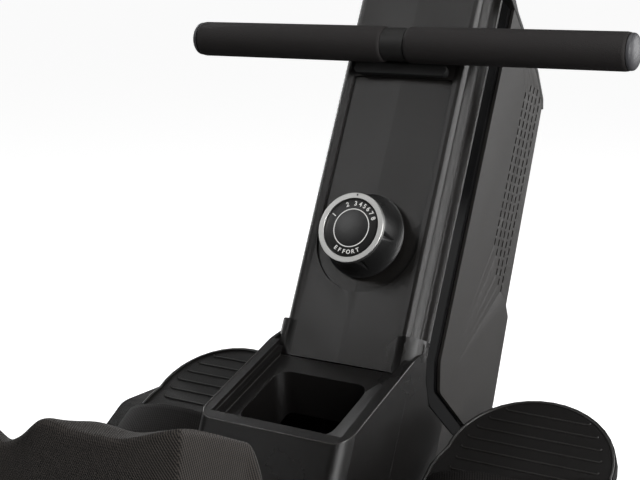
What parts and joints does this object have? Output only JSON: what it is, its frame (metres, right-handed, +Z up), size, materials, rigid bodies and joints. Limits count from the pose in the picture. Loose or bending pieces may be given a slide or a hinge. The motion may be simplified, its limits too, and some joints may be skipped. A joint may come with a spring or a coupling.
{
  "type": "rowing machine",
  "caption": "Folding magnetic rower: leaning drive tower with pull handlebar, tension knob, tray, tilting foot plates and console, and a rail with sliding seat that folds up.",
  "frame": {"origin": "on the floor, under the middle of the machine's outline", "axes": "+Z up, +Y the way the rower faces, along the rail to the tower, +X to the rower's right"},
  "size_m": [0.562, 1.86, 0.8733],
  "materials": {
    "shell": "fine-grained moulded plastic, satin",
    "dark": "fine-grained moulded plastic, matt",
    "gloss": "polished black",
    "foam": "closed-cell foam, matt",
    "rubber": "matt",
    "frame": "black powder coat, satin",
    "steel": "bright zinc",
    "iron": "turned and lacquered",
    "silver": "satin silver",
    "rail": "clear anodised",
    "webbing": "woven nylon tape",
    "upholstery": "woven knit over foam",
    "glass": "clear window over a grey liquid crystal",
    "grey": "smooth moulded plastic"
  },
  "bodies": {
    "base": {"main_frame": "frame", "mid_foot": "rubber", "front_stabiliser": "frame", "front_foot_left": "dark", "front_foot_right": "dark", "drive_plate_left": "frame", "drive_plate_right": "frame", "mast": "frame", "pull_strap": "webbing", "front_cover": "shell", "storage_tray": "shell", "side_shell_left": "shell", "side_shell_right": "shell", "side_band_left": "gloss", "side_band_right": "gloss", "top_cap": "dark", "bar_rest": "rubber", "lower_shroud_left": "shell", "lower_shroud_right": "shell", "drive_belt": "rubber", "console_arm": "frame", "pedal_axle": "frame", "fold_pin": "steel", "knob_dial": "dark"},
    "rail": {"rail": "rail", "rail_hinge_bracket": "frame", "rail_end_cap": "rubber", "rear_stand": "frame", "rear_foot_left": "dark", "rear_foot_right": "dark"},
    "lock_pin": {"fold_lock_pin": "dark"},
    "seat": {"seat_carriage": "frame", "seat_base": "dark", "seat_cushion": "upholstery"},
    "knob": {"knob_skirt": "dark", "knob_ring": "silver"},
    "brake": {"brake_shoe": "steel"},
    "handlebar": {"bar_tube": "steel", "foam_grip_left": "foam", "foam_grip_right": "foam", "bar_end_cap_left": "grey", "bar_end_cap_right": "grey", "centre_sleeve": "dark"},
    "spool": {"strap_spool": "grey"},
    "strap_roller": {"strap_roller": "grey"},
    "flywheel": {"flywheel": "iron"},
    "console": {"console_housing": "dark", "console_screen": "glass"},
    "roller_front_left": {"seat_roller_front_left": "grey"},
    "roller_front_right": {"seat_roller_front_right": "grey"},
    "roller_rear_left": {"seat_roller_rear_left": "grey"},
    "roller_rear_right": {"seat_roller_rear_right": "grey"},
    "wheel_left": {"transport_wheel_left": "rubber"},
    "wheel_right": {"transport_wheel_right": "rubber"},
    "pedal_left": {"foot_plate_left": "dark", "foot_strap_left": "webbing"},
    "pedal_right": {"foot_plate_right": "dark", "foot_strap_right": "webbing"},
    "button_left": {"console_button_left": "rubber"},
    "button_right": {"console_button_right": "rubber"}
  },
  "joints": [
    {"name": "rail_fold", "type": "hinge", "parent": "base", "child": "rail", "pos_m": [0, 0.395, 0.328], "axis": [-1, 0, 0], "range_deg": [0, 85]},
    {"name": "lock_pin_pull", "type": "slide", "parent": "base", "child": "lock_pin", "axis": [1, 0, 0], "range_m": [0, 0.012], "stiffness_N_per_m": 400},
    {"name": "seat_slide", "type": "slide", "parent": "rail", "child": "seat", "axis": [0, -1, 0], "range_m": [0, 1]},
    {"name": "roller_front_left_roll", "type": "hinge", "parent": "seat", "child": "roller_front_left", "pos_m": [-0.02525, 0.321, 0.28], "axis": [1, 0, 0], "range_deg": [-10, 5100]},
    {"name": "roller_front_right_roll", "type": "hinge", "parent": "seat", "child": "roller_front_right", "pos_m": [0.02525, 0.321, 0.28], "axis": [1, 0, 0], "range_deg": [-10, 5100]},
    {"name": "roller_rear_left_roll", "type": "hinge", "parent": "seat", "child": "roller_rear_left", "pos_m": [-0.02525, 0.243, 0.28], "axis": [1, 0, 0], "range_deg": [-10, 5100]},
    {"name": "roller_rear_right_roll", "type": "hinge", "parent": "seat", "child": "roller_rear_right", "pos_m": [0.02525, 0.243, 0.28], "axis": [1, 0, 0], "range_deg": [-10, 5100]},
    {"name": "knob_turn", "type": "hinge", "parent": "base", "child": "knob", "pos_m": [0, 0.695, 0.52], "axis": [0, 0.9063, -0.4226], "range_deg": [-63, 61]},
    {"name": "brake_lift", "type": "hinge", "parent": "base", "child": "brake", "pos_m": [0, 0.692, 0.319], "axis": [1, 0, 0], "range_deg": [-1, 1]},
    {"name": "handlebar_pull", "type": "slide", "parent": "base", "child": "handlebar", "axis": [0, -0.9848, 0.1736], "range_m": [0, 0.9]},
    {"name": "spool_turn", "type": "hinge", "parent": "base", "child": "spool", "pos_m": [0, 0.7364, 0.4621], "axis": [-1, 0, 0], "range_deg": [-5, 2300]},
    {"name": "strap_roller_turn", "type": "hinge", "parent": "base", "child": "strap_roller", "pos_m": [0, 0.7967, 0.6679], "axis": [1, 0, 0], "range_deg": [-5, 5900]},
    {"name": "flywheel_spin", "type": "hinge", "parent": "base", "child": "flywheel", "pos_m": [0, 0.755, 0.21], "axis": [1, 0, 0], "continuous": true},
    {"name": "wheel_left_spin", "type": "hinge", "parent": "base", "child": "wheel_left", "pos_m": [-0.234, 0.9, 0.032], "axis": [1, 0, 0], "continuous": true},
    {"name": "wheel_right_spin", "type": "hinge", "parent": "base", "child": "wheel_right", "pos_m": [0.234, 0.9, 0.032], "axis": [1, 0, 0], "continuous": true},
    {"name": "pedal_left_tilt", "type": "hinge", "parent": "base", "child": "pedal_left", "pos_m": [-0.17, 0.6, 0.228], "axis": [1, 0, 0], "range_deg": [-12, 12]},
    {"name": "pedal_right_tilt", "type": "hinge", "parent": "base", "child": "pedal_right", "pos_m": [0.17, 0.6, 0.228], "axis": [1, 0, 0], "range_deg": [-12, 12]},
    {"name": "console_tilt", "type": "hinge", "parent": "base", "child": "console", "pos_m": [0, 0.8781, 0.7612], "axis": [1, 0, 0], "range_deg": [-15, 15]},
    {"name": "button_left_press", "type": "slide", "parent": "console", "child": "button_left", "axis": [0, 0.9063, -0.4226], "range_m": [0, 0.002], "stiffness_N_per_m": 400},
    {"name": "button_right_press", "type": "slide", "parent": "console", "child": "button_right", "axis": [0, 0.9063, -0.4226], "range_m": [0, 0.002], "stiffness_N_per_m": 400}
  ],
  "couplings": [
    {"joint": "roller_front_left_roll", "follows": "seat_slide", "rad_per_m": 87.7},
    {"joint": "roller_front_right_roll", "follows": "seat_slide", "rad_per_m": 87.7},
    {"joint": "roller_rear_left_roll", "follows": "seat_slide", "rad_per_m": 87.7},
    {"joint": "roller_rear_right_roll", "follows": "seat_slide", "rad_per_m": 87.7},
    {"joint": "brake_lift", "follows": "knob_turn", "ratio": -0.0148},
    {"joint": "spool_turn", "follows": "handlebar_pull", "rad_per_m": 43.9},
    {"joint": "strap_roller_turn", "follows": "handlebar_pull", "rad_per_m": 113.6}
  ]
}
